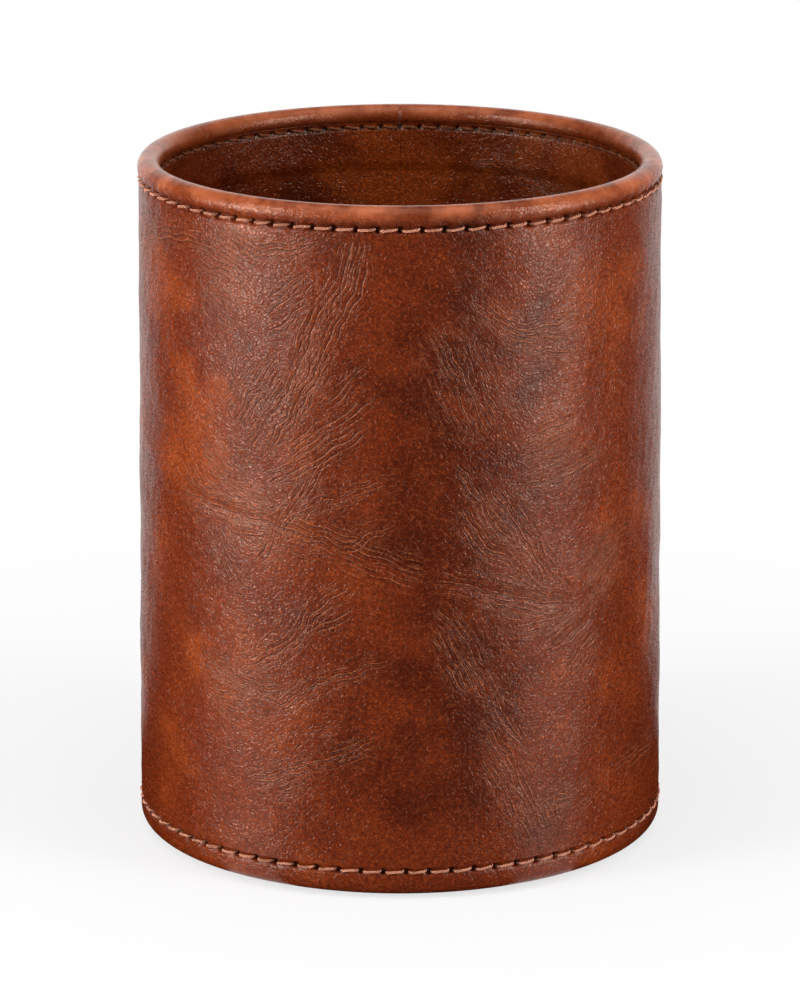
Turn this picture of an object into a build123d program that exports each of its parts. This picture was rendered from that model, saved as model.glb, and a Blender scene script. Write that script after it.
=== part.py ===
from build123d import *
from math import acos, asin, cos, degrees, radians, sin, sqrt
import os

# A round leather pen pot. A rolled board tube is wrapped in a leather cover and lined with thinner leather.
# The cover is turned over a filler cord at the rim, which makes a round bead, and turned under the foot as a
# hem. One row of lockstitch runs round just under the bead and one just above the floor, each with a needle
# thread outside and a bobbin thread inside. Cover and lining are butted at the back, on the +Y side.
# The origin is at the middle of the underside, +Z is up and -Y is the front.

# Overall sizes, in millimetres
height = 106.0                # from the table to the crest of the bead
rim_diameter = 80.0           # across the outside of the bead
flare = 0.9                   # how much larger the wall's radius is at the table than at the top

# Layers of the wall
cover_thickness = 1.0
core_thickness = 1.0
lining_thickness = 0.5
glue_line = 0.05              # film of glue between two layers
seam_gap = 0.12               # between the two butted edges at the back

# Rim
rim_cord_diameter = 1.8
bead_skin = 0.8               # the cover where it is pared down to go round the cord
turn_in_thickness = 0.3       # the cover where it is pared down to lie inside the core
turn_in_depth = 9.0           # from the crest of the bead to the end of the turned-in edge
lining_ramp = 1.5             # height over which the lining eases back to the core below that edge

# Foot and floor
hem_thickness = 0.6           # the cover where it is pared down to lie under the foot
hem_width = 8.0               # from the outside of the wall to the end of the hem
fold_radius = 2.0             # outside of the fold round the foot
core_edge_radius = 0.5        # softened lower edge of the core, inside the fold
base_cover_thickness = 0.5
base_cover_inset = 2.8        # from the outside of the wall to the edge of the base cover
base_board_thickness = 1.2
floor_card_thickness = 0.6
floor_leather_thickness = 0.4
disc_clearance = 0.15         # between a disc and the wall round it

# Stitching
rim_stitch_count = 76
rim_stitch_turn = 0.0         # degrees from the front to the first needle hole
base_stitch_count = 74
base_stitch_turn = 1.3
needle_thread_diameter = 0.45
bobbin_thread_diameter = 0.4
thread_bend = 0.3             # radius of the thread's centre line where it dips into a hole
thread_clearance = 0.03
board_above_holes = 0.2       # board left between the rim holes and the top of the core
lining_above_holes = 0.28
floor_below_holes = 0.4       # wall between the floor and the base holes
groove_depth = 0.25           # how far a row of stitches is pulled into the cover
lining_groove_depth = 0.12
groove_margin = 0.25          # a groove's half width less the diameter of its thread
cut_past = 1.0                # how far a cut runs past the faces of what it cuts

# Heights of the foot and the floor
hem_underside = base_cover_thickness + glue_line
hem_top = hem_underside + hem_thickness
core_bottom = hem_top + glue_line
board_top = core_bottom + base_board_thickness
card_bottom = board_top + glue_line
card_top = card_bottom + floor_card_thickness
floor_top = card_top + glue_line + floor_leather_thickness

# Needle holes: two turns of thread lie side by side in each, one up and one down
hole_radius = needle_thread_diameter + 1.5 * thread_clearance
base_row = floor_top + floor_below_holes + hole_radius

# Bead, which sits on the middle of the core's top edge
cord_radius = rim_cord_diameter / 2
cord_space = cord_radius + glue_line
bead_radius = cord_space + bead_skin
bead_x = rim_diameter / 2 - bead_radius
bead_z = height - bead_radius
core_top = bead_z - cord_space
rim_row = core_top - board_above_holes - hole_radius
lining_top = rim_row + hole_radius + lining_above_holes
turn_in_end = height - turn_in_depth


def core_outside(z):
    """Radius of the core's outside at a height. The other faces of the wall are set off from it."""
    return bead_x + core_thickness / 2 + flare * (1 - z / core_top)


def core_inside(z):
    return core_outside(z) - core_thickness


def cover_inside(z):
    return core_outside(z) + glue_line


def cover_outside(z):
    return cover_inside(z) + cover_thickness


def turn_in_outside(z):
    return core_inside(z) - glue_line


def turn_in_inside(z):
    return turn_in_outside(z) - turn_in_thickness


def lining_outside(z):
    """Back of the lining, which lies on the core and, at the top, on the turned-in edge of the cover."""
    if z < turn_in_end:
        return core_inside(z) - glue_line
    return turn_in_inside(z) - glue_line


def lining_inside(z):
    return lining_outside(z) - lining_thickness


def below_level(x, radius):
    """Degrees below level at which a circle round the bead's middle stands at x from the pot's axis."""
    return degrees(acos(abs(x - bead_x) / radius))


def round_bead(radius, angle):
    """Point of a circle round the bead's middle, with 0 degrees pointing outwards."""
    return (bead_x + radius * cos(radians(angle)), bead_z + radius * sin(radians(angle)))


def needle_holes(row, count, turn):
    """Cuts a row of radial needle holes through the layer being built."""
    inner = lining_inside(row) - cut_past
    outer = cover_outside(row) + cut_past
    with Locations((0, 0, row)):
        with PolarLocations((inner + outer) / 2, count, start_angle=turn - 90):
            Cylinder(hole_radius, outer - inner, rotation=(0, 90, 0), mode=Mode.SUBTRACT)


def both_rows_of_holes():
    needle_holes(rim_row, rim_stitch_count, rim_stitch_turn)
    needle_holes(base_row, base_stitch_count, base_stitch_turn)


def back_seam():
    """Parts a wrapped strip at the back, where its two ends butt together."""
    reach = cover_outside(0) + cut_past
    with Locations((0, reach / 2, height / 2)):
        Box(seam_gap, reach, height + 2 * cut_past, mode=Mode.SUBTRACT)


def stitches(row, count, run_radius, lock_radius, diameter):
    """One stitch of a row, facing +X: a run along the wall whose two ends dip into neighbouring holes.
    In each hole one end lies above and the other below, so every run rises a little to the right."""
    half_pitch = radians(180 / count)
    aside = (diameter + thread_clearance) / 2 / sqrt(2)

    def in_hole(side, radius):
        """Point of the thread in the left hole (side -1) or the right hole (side 1)."""
        x = radius * cos(half_pitch) + aside * sin(half_pitch)
        y = side * (radius * sin(half_pitch) - aside * cos(half_pitch))
        return (x, y, row + side * aside)

    route = (
        in_hole(-1, lock_radius),
        in_hole(-1, run_radius),
        in_hole(1, run_radius),
        in_hole(1, lock_radius),
    )
    with BuildPart() as stitch:
        with BuildLine() as path:
            FilletPolyline(*route, radius=thread_bend)
        with BuildSketch(Plane(path.line @ 0, z_dir=path.line % 0)):
            Circle(diameter / 2)
        sweep()
    return stitch.part


def needle_stitch(row, count):
    """A stitch of the outside, seated in the groove of the cover."""
    seat = cover_outside(row) - groove_depth + thread_clearance + needle_thread_diameter / 2
    lock = core_inside(row) + core_thickness / 2 + thread_clearance
    return stitches(row, count, seat / cos(radians(180 / count)), lock, needle_thread_diameter)


def bobbin_stitch(row, count):
    """A stitch of the inside, seated in the groove of the lining."""
    seat = lining_inside(row) + lining_groove_depth - thread_clearance - bobbin_thread_diameter / 2
    lock = core_inside(row) + core_thickness / 2 - thread_clearance
    return stitches(row, count, seat, lock, bobbin_thread_diameter)


def between_holes(count, turn):
    """Degrees from +X to the middle of the first stitch of a row."""
    return turn - 90 + 180 / count


os.makedirs("parts", exist_ok=True)

# Core: a rolled board tube, whose lower edge is softened
with BuildPart() as core_tube:
    with BuildSketch(Plane.XZ):
        with BuildLine():
            edge_z = core_bottom + core_edge_radius
            edge_x = core_outside(edge_z) - core_edge_radius
            CenterArc((edge_x, edge_z), core_edge_radius, 0, -90)
            Polyline(
                (edge_x, core_bottom),
                (core_inside(core_bottom), core_bottom),
                (core_inside(core_top), core_top),
                (core_outside(core_top), core_top),
                (core_outside(edge_z), edge_z),
            )
        make_face()
    revolve(axis=Axis.Z)
    both_rows_of_holes()
core_tube.part.label = "core_tube"
export_step(core_tube.part, "parts/core_tube.step")

# Filler cord that fills out the bead, laid on the core's top edge and butted at the back
with BuildPart() as rim_cord:
    with BuildSketch(Plane.XZ):
        with Locations((bead_x, bead_z)):
            Circle(cord_radius)
    revolve(axis=Axis.Z)
    back_seam()
rim_cord.part.label = "rim_cord"
export_step(rim_cord.part, "parts/rim_cord.step")

# Cover: one strip of leather, from the hem under the foot, up the wall, over the cord and down inside
with BuildPart() as outer_cover:
    with BuildSketch(Plane.XZ):
        with BuildLine():
            fold_z = hem_underside + fold_radius
            fold_x = cover_outside(fold_z) - fold_radius
            hem_end = cover_outside(fold_z) - hem_width
            half_groove = needle_thread_diameter + groove_margin
            base_low, base_high = base_row - half_groove, base_row + half_groove
            rim_low = rim_row - half_groove
            groove_floor = cover_outside(rim_row) - groove_depth
            bead_foot = -below_level(groove_floor + groove_depth / 3, bead_radius)
            ledge_z = lining_top + glue_line
            ledge = 180 + degrees(asin((bead_z - ledge_z) / bead_radius))
            space_front = -below_level(cover_inside(core_top), cord_space)
            space_back = 180 + below_level(turn_in_outside(core_top), cord_space)
            inner_fold = core_edge_radius + glue_line
            inner_z = hem_top + inner_fold
            inner_x = cover_inside(inner_z) - inner_fold
            Line((hem_end, hem_underside), (fold_x, hem_underside))
            CenterArc((fold_x, fold_z), fold_radius, -90, 90)
            Line((cover_outside(fold_z), fold_z), (cover_outside(base_low), base_low))
            ThreePointArc(
                (cover_outside(base_low), base_low),
                (cover_outside(base_row) - groove_depth, base_row),
                (cover_outside(base_high), base_high),
            )
            Line((cover_outside(base_high), base_high), (cover_outside(rim_low), rim_low))
            ThreePointArc(
                (cover_outside(rim_low), rim_low),
                (groove_floor, rim_row),
                round_bead(bead_radius, bead_foot),
            )
            CenterArc((bead_x, bead_z), bead_radius, bead_foot, ledge - bead_foot)
            Polyline(
                round_bead(bead_radius, ledge),
                (turn_in_inside(ledge_z), ledge_z),
                (turn_in_inside(turn_in_end), turn_in_end),
                (turn_in_outside(turn_in_end), turn_in_end),
                round_bead(cord_space, space_back),
            )
            CenterArc((bead_x, bead_z), cord_space, space_back, space_front - space_back)
            Line(round_bead(cord_space, space_front), (cover_inside(inner_z), inner_z))
            CenterArc((inner_x, inner_z), inner_fold, 0, -90)
            Polyline((inner_x, hem_top), (hem_end, hem_top), (hem_end, hem_underside))
        make_face()
    revolve(axis=Axis.Z)
    back_seam()
    both_rows_of_holes()
outer_cover.part.label = "outer_cover"
export_step(outer_cover.part, "parts/outer_cover.step")

# Lining: one strip of thin leather, tucked up under the bead over the turned-in edge of the cover
with BuildPart() as lining:
    with BuildSketch(Plane.XZ):
        with BuildLine():
            half_groove = bobbin_thread_diameter + groove_margin
            base_low, base_high = base_row - half_groove, base_row + half_groove
            rim_low = rim_row - half_groove
            ramp_low, ramp_high = turn_in_end - glue_line - lining_ramp, turn_in_end - glue_line
            step_in = lining_inside(turn_in_end)
            step_out = lining_outside(turn_in_end)
            Line((lining_inside(card_bottom), card_bottom), (lining_inside(base_low), base_low))
            ThreePointArc(
                (lining_inside(base_low), base_low),
                (lining_inside(base_row) + lining_groove_depth, base_row),
                (lining_inside(base_high), base_high),
            )
            Polyline(
                (lining_inside(base_high), base_high),
                (lining_inside(ramp_low), ramp_low),
                (step_in, ramp_high),
                (lining_inside(rim_low), rim_low),
            )
            ThreePointArc(
                (lining_inside(rim_low), rim_low),
                (lining_inside(rim_row) + lining_groove_depth, rim_row),
                (lining_inside(lining_top), lining_top),
            )
            Polyline(
                (lining_inside(lining_top), lining_top),
                (lining_outside(lining_top), lining_top),
                (step_out, ramp_high),
                (lining_outside(ramp_low), ramp_low),
                (lining_outside(card_bottom), card_bottom),
                (lining_inside(card_bottom), card_bottom),
            )
        make_face()
    revolve(axis=Axis.Z)
    back_seam()
    both_rows_of_holes()
lining.part.label = "lining"
export_step(lining.part, "parts/lining.step")

# Base board: a stiff disc in the foot of the core, standing on the hem
with BuildPart() as base_board:
    with BuildSketch(Plane.XY.offset(core_bottom)):
        Circle(core_inside(board_top) - disc_clearance)
    extrude(amount=base_board_thickness)
base_board.part.label = "base_board"
export_step(base_board.part, "parts/base_board.step")

# Base infill: a card disc that fills the hem's opening level
with BuildPart() as base_infill:
    with BuildSketch(Plane.XY.offset(hem_underside)):
        Circle(hem_end - disc_clearance)
    extrude(amount=hem_thickness)
base_infill.part.label = "base_infill"
export_step(base_infill.part, "parts/base_infill.step")

# Base cover: a felt disc over the hem's edge, which the pot stands on
with BuildPart() as base_cover:
    with BuildSketch():
        Circle(cover_outside(fold_z) - base_cover_inset)
    extrude(amount=base_cover_thickness)
base_cover.part.label = "base_cover"
export_step(base_cover.part, "parts/base_cover.step")

# Floor leather: a disc of the lining's leather, drawn down over the edge of its card
floor_radius = lining_inside(card_top) - disc_clearance
with BuildPart() as floor_leather:
    with BuildSketch(Plane.XY.offset(card_bottom)):
        Circle(floor_radius)
    extrude(amount=floor_top - card_bottom)
    with BuildSketch(Plane.XY.offset(card_bottom)):
        Circle(floor_radius - floor_leather_thickness)
    extrude(amount=floor_top - floor_leather_thickness - card_bottom, mode=Mode.SUBTRACT)
    fillet(floor_leather.edges().group_by(Axis.Z)[-1], floor_leather_thickness / 2)
floor_leather.part.label = "floor_leather"
export_step(floor_leather.part, "parts/floor_leather.step")

# Floor card: the stiffener inside the floor leather
with BuildPart() as floor_card:
    with BuildSketch(Plane.XY.offset(card_bottom)):
        Circle(floor_radius - floor_leather_thickness - glue_line)
    extrude(amount=floor_card_thickness)
floor_card.part.label = "floor_card"
export_step(floor_card.part, "parts/floor_card.step")

# Rim stitching: the needle thread outside and the bobbin thread inside
rim_needle_stitch = needle_stitch(rim_row, rim_stitch_count)
with BuildPart() as rim_needle_thread:
    with PolarLocations(0, rim_stitch_count, start_angle=between_holes(rim_stitch_count, rim_stitch_turn)):
        add(rim_needle_stitch)
rim_needle_thread.part.label = "rim_needle_thread"
export_step(rim_needle_thread.part, "parts/rim_needle_thread.step")

rim_bobbin_stitch = bobbin_stitch(rim_row, rim_stitch_count)
with BuildPart() as rim_bobbin_thread:
    with PolarLocations(0, rim_stitch_count, start_angle=between_holes(rim_stitch_count, rim_stitch_turn)):
        add(rim_bobbin_stitch)
rim_bobbin_thread.part.label = "rim_bobbin_thread"
export_step(rim_bobbin_thread.part, "parts/rim_bobbin_thread.step")

# Base stitching
base_needle_stitch = needle_stitch(base_row, base_stitch_count)
with BuildPart() as base_needle_thread:
    with PolarLocations(0, base_stitch_count, start_angle=between_holes(base_stitch_count, base_stitch_turn)):
        add(base_needle_stitch)
base_needle_thread.part.label = "base_needle_thread"
export_step(base_needle_thread.part, "parts/base_needle_thread.step")

base_bobbin_stitch = bobbin_stitch(base_row, base_stitch_count)
with BuildPart() as base_bobbin_thread:
    with PolarLocations(0, base_stitch_count, start_angle=between_holes(base_stitch_count, base_stitch_turn)):
        add(base_bobbin_stitch)
base_bobbin_thread.part.label = "base_bobbin_thread"
export_step(base_bobbin_thread.part, "parts/base_bobbin_thread.step")
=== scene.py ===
import math
import bpy
import numpy as np
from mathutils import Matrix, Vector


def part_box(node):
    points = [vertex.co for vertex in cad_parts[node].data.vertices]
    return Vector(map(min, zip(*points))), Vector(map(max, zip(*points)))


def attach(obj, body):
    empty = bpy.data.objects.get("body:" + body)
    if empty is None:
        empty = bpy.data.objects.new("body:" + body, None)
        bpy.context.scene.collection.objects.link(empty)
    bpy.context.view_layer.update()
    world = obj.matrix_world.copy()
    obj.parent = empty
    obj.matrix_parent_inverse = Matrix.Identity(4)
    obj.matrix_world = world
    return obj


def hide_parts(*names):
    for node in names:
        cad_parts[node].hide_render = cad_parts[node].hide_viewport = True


# The leather pen pot, dressed in the order in which it is made. Blender works in metres. The sizes of the
# leather and the thread are in millimetres, and become metres where a mesh or a texture is made.

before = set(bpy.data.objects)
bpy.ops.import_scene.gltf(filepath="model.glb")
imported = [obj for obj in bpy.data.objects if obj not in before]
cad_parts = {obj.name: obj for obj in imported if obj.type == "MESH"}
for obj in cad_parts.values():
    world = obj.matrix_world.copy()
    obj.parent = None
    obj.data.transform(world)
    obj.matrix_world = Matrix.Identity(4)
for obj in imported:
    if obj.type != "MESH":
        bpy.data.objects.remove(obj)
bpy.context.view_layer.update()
MM = 0.001


# Core, boards and filler cord
# Greyboard rolled into a tube, with discs of the same board in the foot, and a cotton cord on the tube's top
# edge. Glue holds them, and leather covers them all.

BOARD_GREY = (0.36, 0.29, 0.21)
BOARD_FLECK = (0.16, 0.12, 0.085)
CORD_COTTON = (0.66, 0.58, 0.45)
CORD_SHADE = (0.4, 0.33, 0.24)


def feed(tree, node, inputs):
    """Sets inputs of a node. Each is a value, or the output socket of another node."""
    for name, value in inputs.items():
        if isinstance(value, bpy.types.NodeSocket):
            tree.links.new(value, node.inputs[name])
        else:
            node.inputs[name].default_value = value


def put(tree, kind, inputs=None, **settings):
    """Adds a shader node with its inputs and settings."""
    made = tree.nodes.new("ShaderNode" + kind)
    for name, value in settings.items():
        setattr(made, name, value)
    feed(tree, made, inputs or {})
    return made


def sums(tree, operation, first, second=0.0, third=0.0):
    """Output of a Math node."""
    return put(tree, "Math", {0: first, 1: second, 2: third}, operation=operation).outputs[0]


def times(tree, first, second):
    """Product of two values."""
    return sums(tree, "MULTIPLY", first, second)


def off_by(tree, value, middle):
    """How far a value lies from a middle one, on either side."""
    return sums(tree, "ABSOLUTE", sums(tree, "SUBTRACT", value, middle))


def eased(tree, value, low, high, at_low=0.0, at_high=1.0):
    """A value eased from at_low, where it is low, to at_high, where it is high."""
    inputs = {"Value": value, "From Min": low, "From Max": high, "To Min": at_low, "To Max": at_high}
    return put(tree, "MapRange", inputs, interpolation_type="SMOOTHSTEP").outputs[0]


def mixed(tree, share, first, second):
    """Output of a colour mix. A colour is an RGB triple or a socket."""
    inputs = {0: share}
    for number, colour in ((6, first), (7, second)):
        inputs[number] = colour if isinstance(colour, bpy.types.NodeSocket) else (*colour, 1.0)
    return put(tree, "Mix", inputs, data_type="RGBA").outputs[2]


def noise(tree, place, scale, detail=2.0, roughness=0.5, distortion=0.0):
    """Noise from 0 to 1 at a place."""
    inputs = {"Vector": place, "Scale": scale, "Detail": detail, "Roughness": roughness,
              "Distortion": distortion}
    return put(tree, "TexNoise", inputs).outputs["Fac"]


def carried(tree, name, output="Fac"):
    """A value that the mesh carries at its points."""
    return put(tree, "Attribute", attribute_name=name).outputs[output]


def place_on(tree):
    """Place on the object, in metres."""
    return put(tree, "TexCoord").outputs["Object"]


def finish_of(name, constants):
    """A new material with its Principled shader, its constants set on the shader's own sockets."""
    material = bpy.data.materials.new(name)
    material.use_nodes = True
    tree = material.node_tree
    tree.nodes.clear()
    shader = put(tree, "BsdfPrincipled", constants)
    tree.links.new(shader.outputs[0], put(tree, "OutputMaterial").inputs[0])
    return material, tree, shader


def raised(tree, shader, height, distance, strength=1.0):
    """Bump of a height from 0 to 1 over a distance in metres."""
    bump = put(tree, "Bump", {"Strength": strength, "Distance": distance, "Height": height})
    feed(tree, shader, {"Normal": bump.outputs[0]})


def dress(node, material):
    """Gives a CAD node its finish."""
    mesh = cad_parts[node].data
    mesh.materials.clear()
    mesh.materials.append(material)


board, tree, shader = finish_of("greyboard", {"Roughness": 0.9})
place = place_on(tree)
fleck = eased(tree, noise(tree, place, scale=900.0, detail=4.0), 0.42, 0.68)
feed(tree, shader, {"Base Color": mixed(tree, fleck, BOARD_GREY, BOARD_FLECK)})
raised(tree, shader, noise(tree, place, scale=1800.0, detail=3.0), 0.05 * MM, strength=0.3)
for node in ("core_tube", "base_board", "base_infill", "floor_card"):
    dress(node, board)

cotton, tree, shader = finish_of("cotton_cord", {"Roughness": 0.85})
waves = {"Vector": place_on(tree), "Scale": 420.0, "Distortion": 1.5}
twist = put(tree, "TexWave", waves, bands_direction="DIAGONAL").outputs["Fac"]
feed(tree, shader, {"Base Color": mixed(tree, twist, CORD_SHADE, CORD_COTTON)})
raised(tree, shader, twist, 0.1 * MM, strength=0.6)
dress("rim_cord", cotton)


# Outer cover
# One strip of waxed leather, glued round the core with its ends butted at the back, folded over the cord at
# the top to make the bead, and turned under the foot as a hem. Handling has creased and rubbed it.

COVER = 1.0
CORE = 1.0
GLUE = 0.05
TURN_IN = 0.3
TURN_IN_DEPTH = 9.0
HEM = 0.6
HEM_WIDTH = 8.0
FOLD_RADIUS = 2.0
SEAM_GAP = 0.004
SEAM_COLUMNS = (0.08, 0.18)
GROOVE_DEPTH = 0.25
GROOVE_HALF = 0.7
HOLE_RADIUS = 0.495
BOARD_ABOVE_HOLES = 0.2
FLOOR_BELOW_HOLES = 0.4
LINING_ABOVE_HOLES = 0.28
RIM_STITCHES = 76
RIM_TURN = 0.0
BASE_STITCHES = 74
BASE_TURN = 1.3
COLUMNS = RIM_STITCHES * 10
# The leather is measured round the pot at this radius, and up it in mm that match the height halfway up.
GIRTH_RADIUS = 40.3
HALFWAY = 50.0
BEAD_SKIN = 0.8


def corners_of(node):
    """Lowest and highest corner of a CAD node, in mm."""
    return [np.array(corner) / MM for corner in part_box(node)]


cord_low, cord_high = corners_of("rim_cord")
cover_low, cover_high = corners_of("outer_cover")
floor_low, floor_high = corners_of("floor_leather")
floor_top = floor_high[2]
bead_x = cord_high[0] - (cord_high[2] - cord_low[2]) / 2
bead_z = (cord_high[2] + cord_low[2]) / 2
bead_radius = cover_high[2] - bead_z
core_top = cord_low[2] - GLUE
rim_row = core_top - BOARD_ABOVE_HOLES - HOLE_RADIUS
base_row = floor_top + FLOOR_BELOW_HOLES + HOLE_RADIUS
hem_z = cover_low[2]
fold_z = hem_z + FOLD_RADIUS
wall_top = bead_x + CORE / 2 + GLUE + COVER
taper = (cover_high[0] - wall_top) / (core_top - fold_z)
STITCH_ROWS = ((rim_row, RIM_STITCHES, RIM_TURN), (base_row, BASE_STITCHES, BASE_TURN))


def wall(z):
    """Outside of the cover at a height."""
    return wall_top + taper * (core_top - z)


def smooth(value):
    """Eases a value from 0 to 1."""
    value = np.clip(value, 0.0, 1.0)
    return value * value * (3 - 2 * value)


def ripples(seed, count, finest, coarsest):
    """A smooth random surface of about unit size, summed from waves whose lengths lie between two sizes."""
    random = np.random.default_rng(seed)
    headings, starts = random.uniform(0, 2 * math.pi, (2, count))
    lengths = np.exp(random.uniform(math.log(finest), math.log(coarsest), count))

    def height(across, up):
        total = 0.0
        for heading, start, length in zip(headings, starts, lengths):
            run = across * math.cos(heading) + up * math.sin(heading)
            total = total + np.sin(run * 2 * math.pi / length + start)
        return total * math.sqrt(2 / count)

    return height


def run_along(points):
    """Distance of each point of a line from its start, along the line."""
    return np.concatenate([[0], np.cumsum(np.linalg.norm(np.diff(points, axis=0), axis=1))])


def facing_along(points):
    """Direction of a line at each of its points, with a length of 1."""
    facing = np.gradient(points, axis=0)
    return facing / np.linalg.norm(facing, axis=1)[:, None]


def spaced(points, step):
    """Points at an even spacing along a line of given points."""
    points = np.array(points, float)
    runs = run_along(points)
    places = np.linspace(0, runs[-1], max(2, int(round(runs[-1] / step)) + 1))
    return np.stack([np.interp(places, runs, points[:, axis]) for axis in range(points.shape[1])], -1)


def arc(middle, radius, first, last, step):
    """Points along an arc between two angles, in degrees."""
    turns = np.radians(np.linspace(first, last, max(3, int(abs(last - first) / step) + 1)))
    return np.stack([middle[0] + radius * np.cos(turns), middle[1] + radius * np.sin(turns)], -1)


def levels(start, *stretches):
    """Heights from a start, each stretch giving its end and the spacing up to it."""
    made = [start]
    for end, step in stretches:
        made.extend(np.linspace(made[-1], end, max(2, int(round((end - made[-1]) / step)) + 1))[1:])
    return np.array(made)


def grooved(row, upper=1.0):
    """Depth of a row's groove at a height, with its upper side wider by a factor."""
    def depth(z):
        half = np.where(z > row, GROOVE_HALF * upper, GROOVE_HALF)
        return np.clip(1 - ((z - row) / half) ** 2, 0, 1)
    return depth


base_groove = grooved(base_row)
rim_groove = grooved(rim_row, 1.43)
bead_foot_x = wall(rim_row) - GROOVE_DEPTH * 2 / 3
bead_foot = -math.degrees(math.acos((bead_foot_x - bead_x) / bead_radius))
bead_foot_z = bead_z + bead_radius * math.sin(math.radians(bead_foot))
ledge_z = rim_row + HOLE_RADIUS + LINING_ABOVE_HOLES + GLUE
ledge = 180 + math.degrees(math.asin((bead_z - ledge_z) / bead_radius))
turn_in_x = bead_x - CORE / 2 - GLUE - TURN_IN
turn_in_end = cover_high[2] - TURN_IN_DEPTH
fold_x = wall(fold_z) - FOLD_RADIUS
hem_end = wall(fold_z) - HEM_WIDTH
wall_levels = levels(fold_z, (base_row - 1.0, 0.3), (base_row + 1.0, 0.14), (rim_row - 1.4, 0.36),
                     (rim_row - 0.8, 0.2), (bead_foot_z, 0.13))
wall_depths = GROOVE_DEPTH * (base_groove(wall_levels) + rim_groove(wall_levels))
cover_face = np.concatenate([
    spaced([(hem_end, hem_z), (fold_x, hem_z)], 0.6)[:-1],
    arc((fold_x, fold_z), FOLD_RADIUS, -90, 0, 7)[:-1],
    np.stack([wall(wall_levels) - wall_depths, wall_levels], -1)[:-1],
    arc((bead_x, bead_z), bead_radius, bead_foot, ledge, 5),
    spaced([(turn_in_x, ledge_z - 0.05), (turn_in_x, turn_in_end)], 1.2),
])
cover_back = np.concatenate([
    [(turn_in_x + TURN_IN, turn_in_end), (turn_in_x + TURN_IN, ledge_z)],
    arc((bead_x, bead_z), bead_radius - BEAD_SKIN, 205, -20, 25),
    [(wall(core_top) - COVER, core_top), (wall(60) - COVER, 60), (wall(fold_z) - COVER, fold_z)],
    [(fold_x + HEM, hem_z + HEM), (hem_end, hem_z + HEM)],
])


def wrapped(name, front, back, surface, material, node, columns=COLUMNS):
    """A strip of leather bent round the pot, with its ends butted. Its cross-section runs along its front,
    whose left-hand side is inside the leather, and back along its back. surface gives the lift of the front,
    in mm, and the values that its points carry."""
    half_turn = (2 * math.pi - SEAM_GAP / GIRTH_RADIUS) / 2
    angles = np.linspace(-half_turn, half_turn, columns + 1)
    near_seam = np.array(SEAM_COLUMNS) / GIRTH_RADIUS
    angles = np.sort(np.concatenate([angles, angles[0] + near_seam, angles[-1] - near_seam]))
    columns = len(angles) - 1
    every = np.zeros((columns + 1, 1))
    runs, facing = run_along(front), facing_along(front)
    across = (angles * GIRTH_RADIUS)[:, None] + np.zeros(len(front))
    along = (runs - np.interp(HALFWAY, front[:, 1], runs) + HALFWAY) + every
    rise, values = surface(across, along, front[:, 1] + every)
    reach = np.concatenate([front[:, 0] + rise * facing[:, 1], back[:, 0] + every], 1)
    height = np.concatenate([front[:, 1] - rise * facing[:, 0], back[:, 1] + every], 1)
    points = np.stack([reach * np.sin(angles)[:, None], -reach * np.cos(angles)[:, None], height], -1) * MM
    size = len(front) + len(back)
    column, row = np.meshgrid(np.arange(columns), np.arange(size), indexing="ij")
    after = (row + 1) % size
    here, there = column * size, (column + 1) * size
    quads = np.stack([here + row, there + row, there + after, here + after], -1).reshape(-1, 4)
    first_end = list(range(size))
    last_end = [columns * size + row for row in reversed(range(size))]
    mesh = bpy.data.meshes.new(name)
    mesh.from_pydata(points.reshape(-1, 3), [], quads.tolist() + [first_end, last_end])
    skin = np.zeros((columns + 1, size, 3))
    skin[:, :len(front), 0] = across
    skin[:, :len(front), 1] = along
    skin[:, len(front):, 0] = across[:, :1]
    skin[:, len(front):, 1] = along[0, -1] + 1
    carry(mesh, "skin", skin)
    for title, shown in values.items():
        whole = np.zeros((columns + 1, size) + shown.shape[2:])
        whole[:, :len(front)] = shown
        carry(mesh, title, whole)
    unrolled = mesh.uv_layers.new(name="OFBake")
    share = np.stack([(column / columns), (row / size)], -1)
    step_right, step_up = 1 / columns, 1 / size
    loops = np.stack([share, share + (step_right, 0), share + (step_right, step_up), share + (0, step_up)], 2)
    ends = np.zeros((2 * size, 2))
    unrolled.data.foreach_set("uv", np.concatenate([loops.reshape(-1, 2), ends]).ravel())
    piece(name, mesh, material, node)


def carry(mesh, name, values):
    """Puts a number or a vector on every point of a mesh."""
    kind = "FLOAT_VECTOR" if values.shape[-1] == 3 and values.ndim == 3 else "FLOAT"
    layer = mesh.attributes.new(name, kind, "POINT")
    layer.data.foreach_set("vector" if kind == "FLOAT_VECTOR" else "value", values.astype(np.float32).ravel())


def placed(name, data):
    """A new object in the scene."""
    made = bpy.data.objects.new(name, data)
    bpy.context.collection.objects.link(made)
    return made


def piece(name, mesh, material, node):
    """Puts a finished mesh in the scene in place of its CAD node."""
    mesh.materials.append(material)
    mesh.shade_smooth()
    mesh.set_sharp_from_angle(angle=math.radians(55))
    made = placed(name, mesh)
    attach(made, "root")
    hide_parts(node)


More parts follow.
